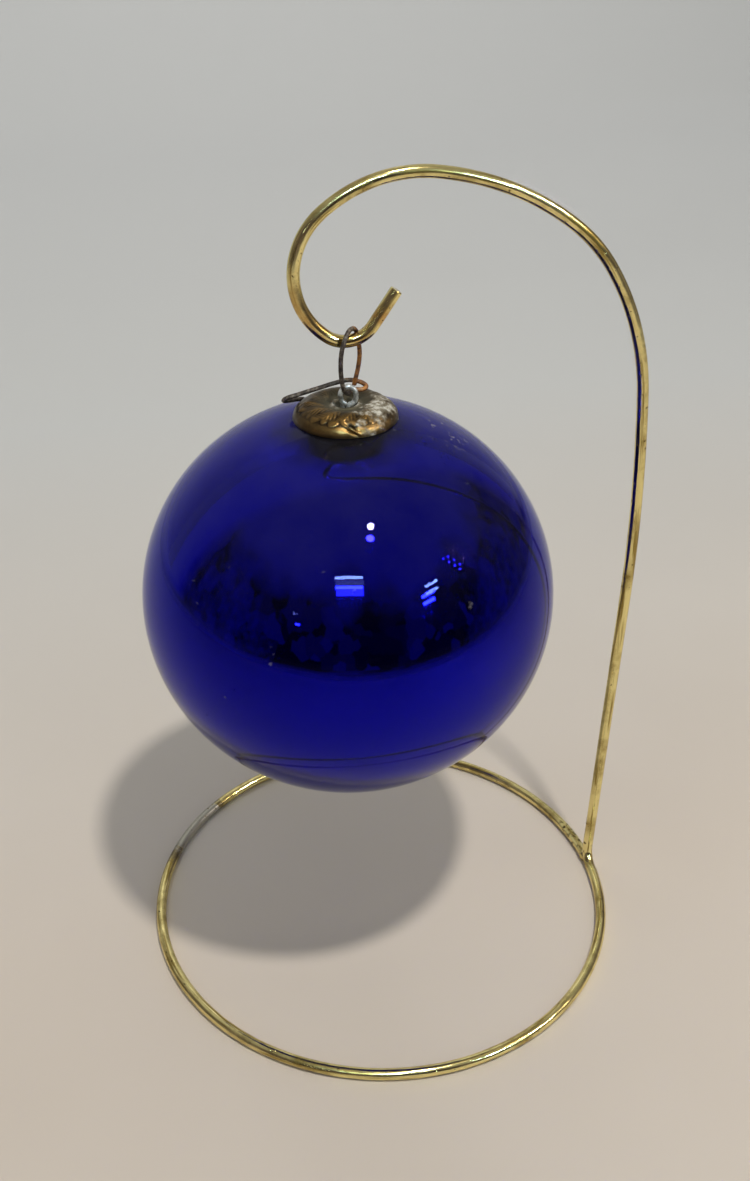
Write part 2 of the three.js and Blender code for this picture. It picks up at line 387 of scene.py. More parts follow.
outline = [spline(CAP_KNOTS, row / CAP_ROWS) for row in range(CAP_ROWS + 1)]
deselect()
bpy.ops.mesh.primitive_circle_add(vertices=CAP_STEPS, radius=CAP_RADIUS, fill_type="NOTHING")
cap = bpy.context.object
cap.name = cap.data.name = "pressed_cap"
bpy.ops.object.mode_set(mode="EDIT")
bpy.ops.mesh.select_all(action="SELECT")
for lower, upper in zip(outline, outline[1:]):
    bpy.ops.mesh.extrude_region_move(TRANSFORM_OT_translate={"value": (0, 0, upper.y - lower.y)})
    narrower = upper.x / lower.x
    bpy.ops.transform.resize(value=(narrower, narrower, 1), center_override=(0, 0, upper.y))
clean_mesh(cap)
print("cap before its relief:", len(cap.data.polygons), "faces")

# %% [markdown]
# The press left a ring of veined leaves on the shoulder, and a row of small scales under them, over a plain
# band. There are too many to carve one by one, so each point of the sheet is moved along its normal by a
# height worked out from where it is on its leaf or scale. A dent, a raised lip round the hole and the crust
# of corrosion on one side are added in the same way. The hole is a short slot for the loop's two legs.

# %% Cap's relief
LEAVES = 12
SCALES = 29
LEAF_SWIRL = 0.10
LEAF_INNER = 4.4 * MM
LEAF_OUTER = 9.3 * MM
SCALE_OUTER = 11.0 * MM
SCALE_DROP = 0.8 * MM
LEAF_RISE = 0.15 * MM
VEIN_PITCH = 0.85 * MM
LIP_RADIUS = 3.0 * MM
LIP_HEIGHT = 0.45 * MM
CRUST_RADIUS = 7.8 * MM
CRUST_THICKNESS = 0.14 * MM
DENT_REACH = 12.3 * MM
DENT_DEPTH = 0.42 * MM
DENT_RIDGE = 0.3 * MM
LOOP_OFFSET = 0.25 * MM
SLOT_SHARE = 0.62
DENT_BEARING = math.radians(-95)
CRUST_BEARING = math.radians(-30)
FRESH_BEARING = math.radians(-120)


def bump_at(value, centre, width):
    return math.exp(-((value - centre) / width) ** 2)


def apart(angle, bearing):
    return abs((angle - bearing + math.pi) % (2 * math.pi) - math.pi)


def cap_reach(point):
    """How far a point lies from the cap's axis, counted so that the steep side still adds length."""
    return math.hypot(point.x, point.y) + 0.45 * max(0.0, 0.6 * CAP_CREST_HEIGHT - point.z)


def across_leaf(angle, count):
    return 2 * ((count * angle / (2 * math.pi)) % 1) - 1


def pressed_pattern(point):
    """The height of the leaves and scales, as a share of LEAF_RISE."""
    wander = 0.35 * MM * noise.noise(point / (2.2 * MM))
    reach, angle = cap_reach(point) + wander, math.atan2(point.y, point.x)
    swirled = angle + LEAF_SWIRL * (reach - LEAF_INNER) / MM
    across = across_leaf(swirled, LEAVES)
    leaf = step_up(reach, LEAF_INNER, LEAF_INNER + 1.0 * MM)
    leaf *= 1 - step_up(reach, LEAF_OUTER, LEAF_OUTER + 0.5 * MM)
    width = math.pi * reach / LEAVES
    vein = math.cos(2 * math.pi * (reach - 1.1 * width * abs(across)) / VEIN_PITCH)
    pattern = leaf * (0.4 - 0.5 * abs(across) ** 3 + 0.3 * vein + 0.5 * bump_at(across, 0, 0.1))
    across = across_leaf(angle + 0.16 * noise.noise(point / (3 * MM)), SCALES)
    edge = SCALE_OUTER - SCALE_DROP * across * across
    scale = step_up(reach, LEAF_OUTER, LEAF_OUTER + 0.6 * MM) * (1 - step_up(reach, edge, edge + 0.2 * MM))
    pattern += scale * (0.55 - 0.5 * across * across)
    groove = min(max(0.7 + 1.6 * noise.noise(point / (3.3 * MM) + Vector((0, 5, 0))), 0.1), 1.2)
    return pattern - groove * bump_at(reach, edge + 0.05 * MM, 0.16 * MM)


def worn_share(point):
    """How much of the pattern is left: it is rubbed away in places, least of all at the front left."""
    angle = math.atan2(point.y, point.x)
    fresh = 0.62 + 0.5 * math.cos(angle - FRESH_BEARING)
    return min(max(fresh + 0.9 * noise.noise(point / (4.5 * MM)), 0.25), 1.2)


def crust_share(point):
    angle, reach = math.atan2(point.y, point.x), math.hypot(point.x, point.y)
    patch = noise.fractal(point / (2.4 * MM), 0.7, 2.0, 4)
    ring = bump_at(reach, CRUST_RADIUS, 4.2 * MM)
    crust = step_up(ring * (1.2 - apart(angle, CRUST_BEARING) / 0.98) + 0.6 * patch, 0.2, 0.85)
    collar = bump_at(reach, LIP_RADIUS, 0.7 * MM) * abs(math.cos(angle + 0.2)) ** 1.5
    return max(crust, 0.9 * collar)


def cap_height(point):
    angle, reach = math.atan2(point.y, point.x), cap_reach(point)
    crust = crust_share(point)
    height = LEAF_RISE * pressed_pattern(point) * worn_share(point) * (1 - 0.8 * crust)
    height += crust * CRUST_THICKNESS * (0.5 + noise.fractal(point / (0.8 * MM), 0.7, 2.0, 4))
    height += LIP_HEIGHT * bump_at(math.hypot(point.x, point.y), LIP_RADIUS, 0.45 * MM)
    along = (angle - DENT_BEARING) * CAP_RADIUS / MM
    down = (reach - DENT_REACH) / MM
    crease = down - 0.55 * along
    grooves = bump_at(crease, 0, 0.3) + bump_at(crease, -1.2, 0.3)
    height -= DENT_DEPTH * grooves * bump_at(along, 0, 1.5)
    height += DENT_RIDGE * bump_at(crease, -0.6, 0.32) * bump_at(along, 0.2, 1.6)
    return height + 0.07 * MM * noise.noise(point / (1.8 * MM))


def relief_tone_and_painted_light(point):
    """The pattern as the eye reads it: dark in its cuts, lighter on the plain band under the scales, with a
    painted highlight on the band's front and a painted shadow along the lower rim.
    """
    band = step_up(cap_reach(point), SCALE_OUTER - 0.3 * MM, SCALE_OUTER + 0.3 * MM)
    # painted highlight: the band is made lighter most of all at the front, round the dent
    band_tone_and_painted_highlight = 0.3 + 0.7 * bump_at(apart(math.atan2(point.y, point.x), DENT_BEARING), 0, 0.8)
    # painted shadow: darker along the lower rim
    painted_rim_shadow = 1 - step_up(point.z, 0, 0.9 * MM)
    return 0.1 + 0.9 * pressed_pattern(point) * worn_share(point) + 0.55 * band * band_tone_and_painted_highlight - 0.5 * painted_rim_shadow


heights = [cap_height(vertex.co) for vertex in cap.data.vertices]
crusts = [crust_share(vertex.co) for vertex in cap.data.vertices]
# This stored shade holds the pattern's tone, a painted highlight on the front of the band and a painted shadow
# along the lower rim.
leaves = [relief_tone_and_painted_light(vertex.co) for vertex in cap.data.vertices]
for name, values in (("relief", leaves), ("crust", crusts)):
    stored = cap.data.attributes.new(name, "FLOAT", "POINT")
    stored.data.foreach_set("value", values)
normals = [vertex.normal.copy() for vertex in cap.data.vertices]
for vertex in cap.data.vertices:
    near_hole = 1 - step_up(math.hypot(vertex.co.x, vertex.co.y), CAP_HOLE, 3 * MM)
    vertex.co.x += LOOP_OFFSET * near_hole
    vertex.co.y *= 1 - (1 - SLOT_SHARE) * near_hole
for vertex, normal, height in zip(cap.data.vertices, normals, heights):
    near_rim = step_up(vertex.co.z, 0, 0.8 * MM)
    vertex.co += normal * height * near_rim
apply_modifier(cap, "SOLIDIFY", thickness=CAP_SHEET, offset=-1)
cap.matrix_world = hung @ Matrix.Translation((0, 0, CAP_LIFT))
clean_mesh(cap)
print("cap:", len(cap.data.polygons), "faces, relief up to", round(max(heights) / MM, 2), "mm")

# %% [markdown]
# ## The loop and the hanger
# The loop is bent flat, so its line is worked out from its bends. The hanger was bent by hand and turns in
# every direction, so its line is a list of places. Both are smooth curves with a round section, which is
# the shortest way to a thin wire, and both are then turned to meshes.

# %% Wire through places
def wire_through(name, places, diameter, turn=None):
    curve = bpy.data.curves.new(name, "CURVE")
    curve.dimensions = "3D"
    curve.resolution_u = 6
    line = curve.splines.new("BEZIER")
    line.bezier_points.add(len(places) - 1)
    for point, place in zip(line.bezier_points, places):
        point.co = place
        point.handle_left_type = point.handle_right_type = "AUTO"
    curve.bevel_depth = diameter / 2
    curve.bevel_resolution = 6
    curve.use_fill_caps = True
    piece = bpy.data.objects.new(name, curve)
    bpy.context.collection.objects.link(piece)
    deselect()
    piece.select_set(True)
    bpy.context.view_layer.objects.active = piece
    bpy.ops.object.convert(target="MESH")
    piece = bpy.context.object
    piece.matrix_world = turn or Matrix.Identity(4)
    clean_mesh(piece)
    route = [((turn or Matrix.Identity(4)) @ place) for place in places]
    fine = [a.lerp(b, k / 6) for a, b in zip(route, route[1:]) for k in range(6)] + [route[-1]]
    headings = [(b - a).normalized() for a, b in zip(fine, fine[1:])]
    mark_along(piece, list(zip(fine, [*headings, headings[-1]])))
    return piece


# %% Loop
LOOP_WIRE = 1.2 * MM
LOOP_RADIUS = 1.8 * MM
LOOP_HALF_HEIGHT = 2.2 * MM
LOOP_RISE = 2.5 * MM
LOOP_LEAN = 0.45 * MM
LOOP_TURN = math.radians(-13)
LOOP_NECK = math.radians(26)
LEG_SPACING = 1.5 * MM
LEG_BEND = 2 * MM
LEG_REACH = 8.5 * MM
CLEAR = 0.3 * MM


def leg_height(reach):
    return glass_height(reach) - GLASS - LOOP_WIRE / 2 - 2 * CLEAR - shoulder_drop(reach)


half = LEG_SPACING / 2
dish = CAP_LIFT + CAP_DISH_HEIGHT
leg = [Vector((LEG_REACH, 0, leg_height(LEG_REACH)))]
for step in range(6):
    angle = math.pi / 2 * step / 5
    leg.append(Vector((
        half + LEG_BEND * (1 - math.sin(angle)), 0,
        leg_height(half + LEG_BEND) + LEG_BEND * (1 - math.cos(angle)))))
leg.append(Vector((half, 0, dish + CLEAR)))
eye = []
for step in range(21):
    angle = LOOP_NECK - math.pi / 2 + 2 * (math.pi - LOOP_NECK) * step / 20
    eye.append(Vector((
        LOOP_LEAN + LOOP_RADIUS * math.cos(angle), 0,
        dish + LOOP_RISE + LOOP_HALF_HEIGHT * math.sin(angle))))
other_leg = [Vector((-place.x, 0, place.z)) for place in reversed(leg)]
loop_turn = hung @ Matrix.Translation((LOOP_OFFSET, 0, 0)) @ Matrix.Rotation(LOOP_TURN, 4, "Z")
loop = wire_through("cap_eye", [*leg, *eye, *other_leg], LOOP_WIRE, loop_turn)
print("loop:", len(loop.data.polygons), "faces")

# %% Hanger
HANGER_WIRE = 1.05 * MM
HANGER_ROUTE = (
    (-18, 10.2, 153.8), (-20.1, 8.2, 154.7), (-22, 6.4, 155.4), (-23.4, 5.4, 155.9), (-22.9, 4.7, 156.7),
    (-20.3, 4.2, 157.6), (-15.7, 3.8, 158.9), (-11.5, 3.8, 159.9), (-8.4, 3.8, 160.3), (-6.6, 3.5, 160),
    (-5.2, 2.7, 159.6), (-4.8, 2, 159.1), (-5.7, 1.6, 158.7), (-7.2, 1.6, 158.7), (-8.6, 1.2, 158.5),
    (-9.5, -0.2, 158.7), (-10.5, -1.4, 159.8), (-11, -1.9, 161), (-11.5, -2.3, 163.5), (-11.7, -2.6, 166.5),
    (-11.5, -2.7, 169.6), (-10.9, -2.6, 172), (-10, -1.8, 173.5), (-8.8, -0.1, 173.9), (-7.4, 1.7, 173),
    (-6.6, 2.6, 170.4), (-6.2, 2.7, 167.3), (-6.5, 2.7, 163.9), (-7.1, 2.4, 161.5), (-7.5, 2.5, 159.6),
)
hanger = wire_through("bent_hanger", [Vector(place) * MM for place in HANGER_ROUTE], HANGER_WIRE)
print("hanger:", len(hanger.data.polygons), "faces")

# %% [markdown]
# ## Brass plating
# The stand is steel wire with a thin polished coat of brass. Polished brass is a yellow mirror: most of
# what the eye sees is what stands round it, drawn out into lines along the wire. The coat is pitted, and
# brown where it has tarnished, in streaks that follow the wire. In all these materials a noise's scale
# counts its marks per metre: 900 gives specks 1.1 mm wide, and 70 gives blotches 14 mm wide.

# %% Brass plating
brass, tree = new_material("polished_brass_plating")
place = add(tree, "ShaderNodeAttribute", attribute_name="straightened").outputs["Vector"]
along = add(tree, "ShaderNodeSeparateXYZ", {0: place}).outputs["X"]
drawn_out = add(tree, "ShaderNodeMapping", {"Vector": place, "Scale": (60, 1100, 1100)}).outputs[0]
streaks = add(tree, "ShaderNodeTexNoise", {"Vector": drawn_out, "Scale": 1.0, "Detail": 4.0}).outputs["Fac"]
blotches = add(tree, "ShaderNodeTexNoise", {
    "Vector": place, "Scale": 70.0, "Detail": 6.0, "Roughness": 0.65}).outputs["Fac"]
pits = add(tree, "ShaderNodeTexNoise", {"Vector": place, "Scale": 900.0, "Detail": 2.0}).outputs["Fac"]
pitted = add(tree, "ShaderNodeValToRGB", {"Fac": pits}, stops=((0.68, 0.0), (0.73, 1.0))).outputs["Color"]
streaked = add(tree, "ShaderNodeValToRGB", {"Fac": streaks},
               stops=((0.50, 0.0), (0.64, 1.0))).outputs["Color"]
blotched = add(tree, "ShaderNodeValToRGB", {"Fac": blotches},
               stops=((0.48, 0.0), (0.66, 1.0))).outputs["Color"]
tarnish = add(tree, "ShaderNodeMath", {0: streaked, 1: blotched}, operation="MAXIMUM").outputs[0]
shade = add(tree, "ShaderNodeMix", {"Factor": tarnish, 6: colour("#efde98"), 7: colour("#9c8546")},
            data_type="RGBA").outputs[2]
print("brass plating, first", len(tree.nodes), "nodes")

# %% [markdown]
# Three stretches of the wire are not like the rest. At the back of the ring the brass is gone and grey
# steel shows, and near the foot there are dark spots. Where the hanger hangs in the hook the brass is
# orange brown: partly tarnish, and partly a painted reflection of orange highlights. Each stretch is found
# by how far along the wire it is, in metres.

# %% Worn stretches
WORN_START, WORN_END = 0.1470, 0.1800
SPOTS_START, SPOTS_END = 0.002, 0.018
HOOK_START, HOOK_END = 0.666, 0.7105

uneven = add(tree, "ShaderNodeMath", {0: pits, 1: 0.008, 2: along}, operation="MULTIPLY_ADD").outputs[0]
in_worn = add(tree, "ShaderNodeMapRange", {
    "Value": uneven, "From Min": WORN_START, "From Max": WORN_END}).outputs[0]
in_spots = add(tree, "ShaderNodeMapRange", {
    "Value": along, "From Min": SPOTS_START, "From Max": SPOTS_END}).outputs[0]
in_hook = add(tree, "ShaderNodeMapRange", {
    "Value": along, "From Min": HOOK_START, "From Max": HOOK_END}).outputs[0]
worn = add(tree, "ShaderNodeValToRGB", {"Fac": in_worn}, stops=(
    (0.05, 0.0), (0.12, 1.0), (0.75, 1.0), (0.97, 0.0))).outputs["Color"]
edges = add(tree, "ShaderNodeValToRGB", {"Fac": in_worn}, stops=(
    (0.0, 0.0), (0.05, 0.8), (0.12, 0.0), (0.7, 0.0), (0.85, 0.75), (1.0, 0.0))).outputs["Color"]
spot_zone = add(tree, "ShaderNodeValToRGB", {"Fac": in_spots}, stops=(
    (0.05, 0.0), (0.2, 1.0), (0.8, 1.0), (0.95, 0.0))).outputs["Color"]
# orange brown where the hanger hangs in the hook: partly tarnish, partly a painted reflection of orange
# highlights
hook_zone = add(tree, "ShaderNodeValToRGB", {"Fac": in_hook}, stops=(
    (0.1, 0.0), (0.5, 1.0), (0.85, 1.0), (0.95, 0.1))).outputs["Color"]
spots = add(tree, "ShaderNodeValToRGB", {"Fac": pits}, stops=((0.56, 0.0), (0.60, 1.0))).outputs["Color"]
orange = add(tree, "ShaderNodeValToRGB", {"Fac": blotches},
             stops=((0.44, 0.0), (0.60, 0.75))).outputs["Color"]
orange = add(tree, "ShaderNodeMath", {0: hook_zone, 1: orange}, operation="MULTIPLY").outputs[0]
dark = add(tree, "ShaderNodeMath", {0: spot_zone, 1: spots}, operation="MULTIPLY").outputs[0]
dark = add(tree, "ShaderNodeMath", {0: dark, 1: edges}, operation="MAXIMUM").outputs[0]
dark = add(tree, "ShaderNodeMath", {0: dark, 1: pitted}, operation="MAXIMUM").outputs[0]
for mask, tone in ((orange, "#bd7f34"), (worn, "#aaa699"), (dark, "#54411f")):
    shade = add(tree, "ShaderNodeMix", {"Factor": mask, 6: shade, 7: colour(tone)},
                data_type="RGBA").outputs[2]
dull = add(tree, "ShaderNodeMath", {0: worn, 1: tarnish}, operation="MAXIMUM").outputs[0]
gloss = add(tree, "ShaderNodeMapRange", {"Value": dull, "To Min": 0.11, "To Max": 0.30}).outputs[0]
dents = add(tree, "ShaderNodeTexNoise", {"Vector": place, "Scale": 150.0, "Detail": 2.0}).outputs["Fac"]
normal = add(tree, "ShaderNodeBump", {"Height": dents, "Strength": 0.35, "Distance": 0.0006}).outputs[0]
normal = add(tree, "ShaderNodeBump", {
    "Height": pitted, "Strength": 0.4, "Distance": 0.0001, "Normal": normal}, invert=True).outputs[0]
normal = add(tree, "ShaderNodeBump", {
    "Height": streaks, "Strength": 0.25, "Distance": 0.0002, "Normal": normal}).outputs[0]
surface = add(tree, "ShaderNodeBsdfPrincipled", {
    "Base Color": shade, "Metallic": 1.0, "Roughness": gloss, "Normal": normal})
add(tree, "ShaderNodeOutputMaterial", {"Surface": surface.outputs[0]})
print("brass plating, in all", len(tree.nodes), "nodes")

# %% [markdown]
# ## Cobalt glass and its silver
# The glass is coloured through with cobalt, so light that goes in and out again comes back deep blue. The
# outside is smooth, with dust settled on its upper side and a flaky patch right of the cap. The index is
# set lower than glass's 1.5 and matched so that the pale rim stays narrow. The silver inside is a
# mirror. Near the crown it is lost, and what is left there is grey and half matt.

# %% Cobalt glass
DUSTY_PLACE = Vector((12.5, -4.5, 149.2)) * MM
FLAKES_INNER, FLAKES_OUTER = 2 * MM, 10 * MM
DUST_LOW, DUST_HIGH = 125 * MM, 153 * MM
GLASS_INDEX = 1.2

glass, tree = new_material("cobalt_glass")
spot = add(tree, "ShaderNodeTexCoord").outputs["Object"]
clear = add(tree, "ShaderNodeBsdfPrincipled", {
    "Base Color": colour("#0a09a4"), "Roughness": 0.008, "IOR": GLASS_INDEX, "Transmission Weight": 1.0,
    "Specular Tint": colour("#9a9aff")})
dust = add(tree, "ShaderNodeBsdfDiffuse", {"Color": colour("#a3a0ac"), "Roughness": 1.0})
specks = add(tree, "ShaderNodeTexNoise", {"Vector": spot, "Scale": 300.0, "Detail": 3.0})
smears = add(tree, "ShaderNodeTexNoise", {"Vector": spot, "Scale": 60.0, "Detail": 5.0, "Roughness": 0.6})
speck_mask = add(tree, "ShaderNodeValToRGB", {"Fac": specks.outputs["Fac"]},
                 stops=((0.72, 0.0), (0.77, 0.2))).outputs["Color"]
smear_mask = add(tree, "ShaderNodeValToRGB", {"Fac": smears.outputs["Fac"]},
                 stops=((0.35, 0.3), (0.65, 1.0))).outputs["Color"]
level = add(tree, "ShaderNodeSeparateXYZ", {0: spot}).outputs["Z"]
settled = add(tree, "ShaderNodeMapRange", {
    "Value": level, "From Min": DUST_LOW, "From Max": DUST_HIGH, "To Min": 0.001, "To Max": 0.045}).outputs[0]
haze = add(tree, "ShaderNodeMath", {0: smear_mask, 1: settled}, operation="MULTIPLY").outputs[0]
reach = add(tree, "ShaderNodeVectorMath", {0: spot, 1: DUSTY_PLACE}, operation="DISTANCE").outputs["Value"]
near = add(tree, "ShaderNodeMapRange", {
    "Value": reach, "From Min": FLAKES_INNER, "From Max": FLAKES_OUTER, "To Min": 1.0, "To Max": 0.0}).outputs[0]
fine = add(tree, "ShaderNodeTexNoise", {"Vector": spot, "Scale": 700.0, "Detail": 4.0}).outputs["Fac"]
flakes = add(tree, "ShaderNodeValToRGB", {"Fac": fine}, stops=((0.55, 0.03), (0.68, 0.4))).outputs["Color"]
flaked = add(tree, "ShaderNodeMath", {0: near, 1: flakes}, operation="MULTIPLY").outputs[0]
film = add(tree, "ShaderNodeMath", {0: speck_mask, 1: haze}, operation="MAXIMUM").outputs[0]
film = add(tree, "ShaderNodeMath", {0: film, 1: flaked}, operation="MAXIMUM").outputs[0]
mixed = add(tree, "ShaderNodeMixShader", {"Fac": film, 1: clear.outputs[0], 2: dust.outputs[0]})
add(tree, "ShaderNodeOutputMaterial", {"Surface": mixed.outputs[0]})
print("cobalt glass:", len(tree.nodes), "nodes")

# %% Silvering
LOSS_INNER, LOSS_OUTER = 14.5 * MM, 23.5 * MM

silver, tree = new_material("inside_silvering")
spot = add(tree, "ShaderNodeTexCoord").outputs["Object"]
from_crown = add(tree, "ShaderNodeVectorMath", {
    0: spot, 1: hung @ Vector((0, 0, BALL_HALF_HEIGHT))}, operation="DISTANCE").outputs["Value"]
patches = add(tree, "ShaderNodeTexNoise", {"Vector": spot, "Scale": 150.0, "Detail": 4.0}).outputs["Fac"]
worn = add(tree, "ShaderNodeMath", {0: patches, 1: 0.008, 2: from_crown},
           operation="MULTIPLY_ADD").outputs[0]
loss = add(tree, "ShaderNodeMapRange", {
    "Value": worn, "From Min": LOSS_INNER, "From Max": LOSS_OUTER, "To Min": 1.0, "To Max": 0.0}).outputs[0]
shade = add(tree, "ShaderNodeMix", {"Factor": loss, 6: colour("#f2f2f0"), 7: colour("#4a4e47")},
            data_type="RGBA").outputs[2]
matt = add(tree, "ShaderNodeMapRange", {"Value": loss, "To Min": 0.03, "To Max": 0.28}).outputs[0]
surface = add(tree, "ShaderNodeBsdfPrincipled", {"Base Color": shade, "Metallic": 1.0, "Roughness": matt})
add(tree, "ShaderNodeOutputMaterial", {"Surface": surface.outputs[0]})
print("silvering:", len(tree.nodes), "nodes")

# %% [markdown]
# ## Tarnished cap
# Old pressed brass is brown in its hollows and golden where hands have worn its ridges. One side has a
# pale, matt crust of corrosion, and the dished middle has gone a dull olive grey. The relief's shade also
# brings a painted highlight to the front of the band and a painted shadow to the lower rim.

# %% Tarnished brass
DULL_INNER, DULL_OUTER = 4.5 * MM, 8.5 * MM

aged_brass_and_painted_light, tree = new_material("tarnished_brass_and_painted_light")
spot = add(tree, "ShaderNodeTexCoord").outputs["Object"]
# relief brings in a painted highlight on the band's front and a painted shadow along the lower rim
relief = add(tree, "ShaderNodeAttribute", attribute_name="relief").outputs["Fac"]
crust = add(tree, "ShaderNodeAttribute", attribute_name="crust").outputs["Fac"]
grime = add(tree, "ShaderNodeTexNoise", {"Vector": spot, "Scale": 420.0, "Detail": 6.0, "Roughness": 0.65})
height = add(tree, "ShaderNodeMath", {0: grime.outputs["Fac"], 1: 0.7, 2: relief}, operation="MULTIPLY_ADD")
shade = add(tree, "ShaderNodeValToRGB", {"Fac": height.outputs[0]}, stops=(
    (0.0, "#1c140b"), (0.3, "#382b1b"), (0.7, "#5a482c"), (1.0, "#87693a"))).outputs["Color"]
from_axis = add(tree, "ShaderNodeVectorMath", {
    0: spot, 1: hung @ Vector((0, 0, CAP_LIFT + CAP_CREST_HEIGHT))}, operation="DISTANCE").outputs["Value"]
dull = add(tree, "ShaderNodeMapRange", {
    "Value": from_axis, "From Min": DULL_INNER, "From Max": DULL_OUTER, "To Min": 0.85, "To Max": 0.0}).outputs[0]
shade = add(tree, "ShaderNodeMix", {"Factor": dull, 6: shade, 7: colour("#5d5847")},
            data_type="RGBA").outputs[2]
pale = add(tree, "ShaderNodeTexNoise", {"Vector": spot, "Scale": 900.0, "Detail": 4.0}).outputs["Fac"]
thick = add(tree, "ShaderNodeMath", {0: crust, 1: 0.22, 2: pale}, operation="MULTIPLY_ADD").outputs[0]
pale_shade = add(tree, "ShaderNodeValToRGB", {"Fac": thick}, stops=(
    (0.50, "#5c523c"), (0.66, "#857d6b"), (0.84, "#c9c6ba"))).outputs["Color"]
shade = add(tree, "ShaderNodeMix", {"Factor": crust, 6: shade, 7: pale_shade}, data_type="RGBA").outputs[2]
metal = add(tree, "ShaderNodeMapRange", {"Value": crust, "To Min": 0.92, "To Max": 0.1}).outputs[0]
matt = add(tree, "ShaderNodeMath", {0: dull, 1: crust}, operation="MAXIMUM").outputs[0]
rough = add(tree, "ShaderNodeMapRange", {"Value": matt, "To Min": 0.33, "To Max": 0.75}).outputs[0]
grain = add(tree, "ShaderNodeBump", {"Height": grime.outputs["Fac"], "Strength": 0.4, "Distance": 0.00025})
surface = add(tree, "ShaderNodeBsdfPrincipled", {
    "Base Color": shade, "Metallic": metal, "Roughness": rough, "Normal": grain.outputs[0]})
add(tree, "ShaderNodeOutputMaterial", {"Surface": surface.outputs[0]})
print("tarnished brass:", len(tree.nodes), "nodes")

# %% [markdown]
# ## Dull zinc and rusty steel
# The loop is plated with zinc that has gone a matt grey. The hanger is bare steel: brown-black where it
# is handled, and orange where it has rusted.

# %% Dull zinc
zinc, tree = new_material("dull_zinc_plating")
place = add(tree, "ShaderNodeAttribute", attribute_name="straightened").outputs["Vector"]
bloom = add(tree, "ShaderNodeTexNoise", {"Vector": place, "Scale": 900.0, "Detail": 5.0})
shade = add(tree, "ShaderNodeValToRGB", {"Fac": bloom.outputs["Fac"]}, stops=(
    (0.32, "#75726a"), (0.5, "#b2b7b5"), (0.62, "#e4e8e8"))).outputs["Color"]
bumped = add(tree, "ShaderNodeBump", {"Height": bloom.outputs["Fac"], "Strength": 0.3, "Distance": 0.0002})
surface = add(tree, "ShaderNodeBsdfPrincipled", {
    "Base Color": shade, "Metallic": 0.35, "Roughness": 0.4, "Normal": bumped.outputs[0]})
add(tree, "ShaderNodeOutputMaterial", {"Surface": surface.outputs[0]})
print("dull zinc:", len(tree.nodes), "nodes")

# %% Rusty steel
RUST_START, RUST_END = 6 * MM, 78 * MM

rust, tree = new_material("rusty_steel_wire")
place = add(tree, "ShaderNodeAttribute", attribute_name="straightened").outputs["Vector"]
along = add(tree, "ShaderNodeSeparateXYZ", {0: place}).outputs["X"]
scale = add(tree, "ShaderNodeTexNoise", {"Vector": place, "Scale": 700.0, "Detail": 6.0, "Roughness": 0.7})
drift = add(tree, "ShaderNodeMath", {0: scale.outputs["Fac"], 1: 0.012, 2: along}, operation="MULTIPLY_ADD")
whole = add(tree, "ShaderNodeMapRange", {
    "Value": drift.outputs[0], "From Min": RUST_START, "From Max": RUST_END})
orange = add(tree, "ShaderNodeValToRGB", {"Fac": whole.outputs[0]}, stops=(
    (0.325, 0.0), (0.385, 0.95), (0.42, 0.95), (0.455, 0.0), (0.735, 0.0), (0.775, 0.95))).outputs["Color"]
bare = add(tree, "ShaderNodeValToRGB", {"Fac": scale.outputs["Fac"]}, stops=(
    (0.34, "#241c18"), (0.5, "#4c4138"), (0.66, "#8a7f70"))).outputs["Color"]
rusted = add(tree, "ShaderNodeValToRGB", {"Fac": scale.outputs["Fac"]}, stops=(
    (0.34, "#38200a"), (0.5, "#8a5208"), (0.64, "#c07d18"))).outputs["Color"]
shade = add(tree, "ShaderNodeMix", {"Factor": orange, 6: bare, 7: rusted}, data_type="RGBA").outputs[2]
metal = add(tree, "ShaderNodeMapRange", {"Value": orange, "To Min": 0.6, "To Max": 0.1}).outputs[0]
bumped = add(tree, "ShaderNodeBump", {"Height": scale.outputs["Fac"], "Strength": 0.5, "Distance": 0.0002})
surface = add(tree, "ShaderNodeBsdfPrincipled", {
    "Base Color": shade, "Metallic": metal, "Roughness": 0.62, "Normal": bumped.outputs[0]})
add(tree, "ShaderNodeOutputMaterial", {"Surface": surface.outputs[0]})
print("rusty steel:", len(tree.nodes), "nodes")

# %% [markdown]
# ## Fit the pieces to the frame
# Each piece stands for the solid of the same kind and rides on the one body. The
# ball has two finishes, and the faces that look inwards get the silver.

# %% Pieces and their nodes
PIECES = (
    (stand, "stand", "brass_wire", (brass,)),
    (ball, "glass_ball", "blue_glass", (glass, silver)),
    (cap, "cap", "aged_brass", (aged_brass_and_painted_light,)),
    (loop, "cap_loop", "dull_zinc", (zinc,)),
    (hanger, "hanger", "rusty_wire", (rust,)),
)
for piece, node_name, slot, materials in PIECES:
    piece.data.materials.clear()
    for material in materials:
        piece.data.materials.append(material)
    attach(piece, "root")
    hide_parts(node_name)
for face in ball.data.polygons:
    outward = face.center - BALL_CENTRE
    face.material_index = 1 if face.normal.dot(outward) < -0.5 * outward.length else 0
print({piece.name: len(piece.data.polygons) for piece, *_ in PIECES})

# %% [markdown]
# ## Floor and light
# The object stands on a plain pale floor that sweeps up far behind it. One small soft lamp overhead gives
# the round shadow, the even light all round fills it, and a broad lamp lights the far sweep. A dark dome
# stands round the front and the sides, and only reflections see it: it gives the mirror ball its dark
# middle and the brass its dark lines. The small cool lamps in front are there for reflections alone.

# %% Floor
FLOOR_HALF = 2.0
SWEEP_START = 0.9
SWEEP_HEIGHT = 1.6

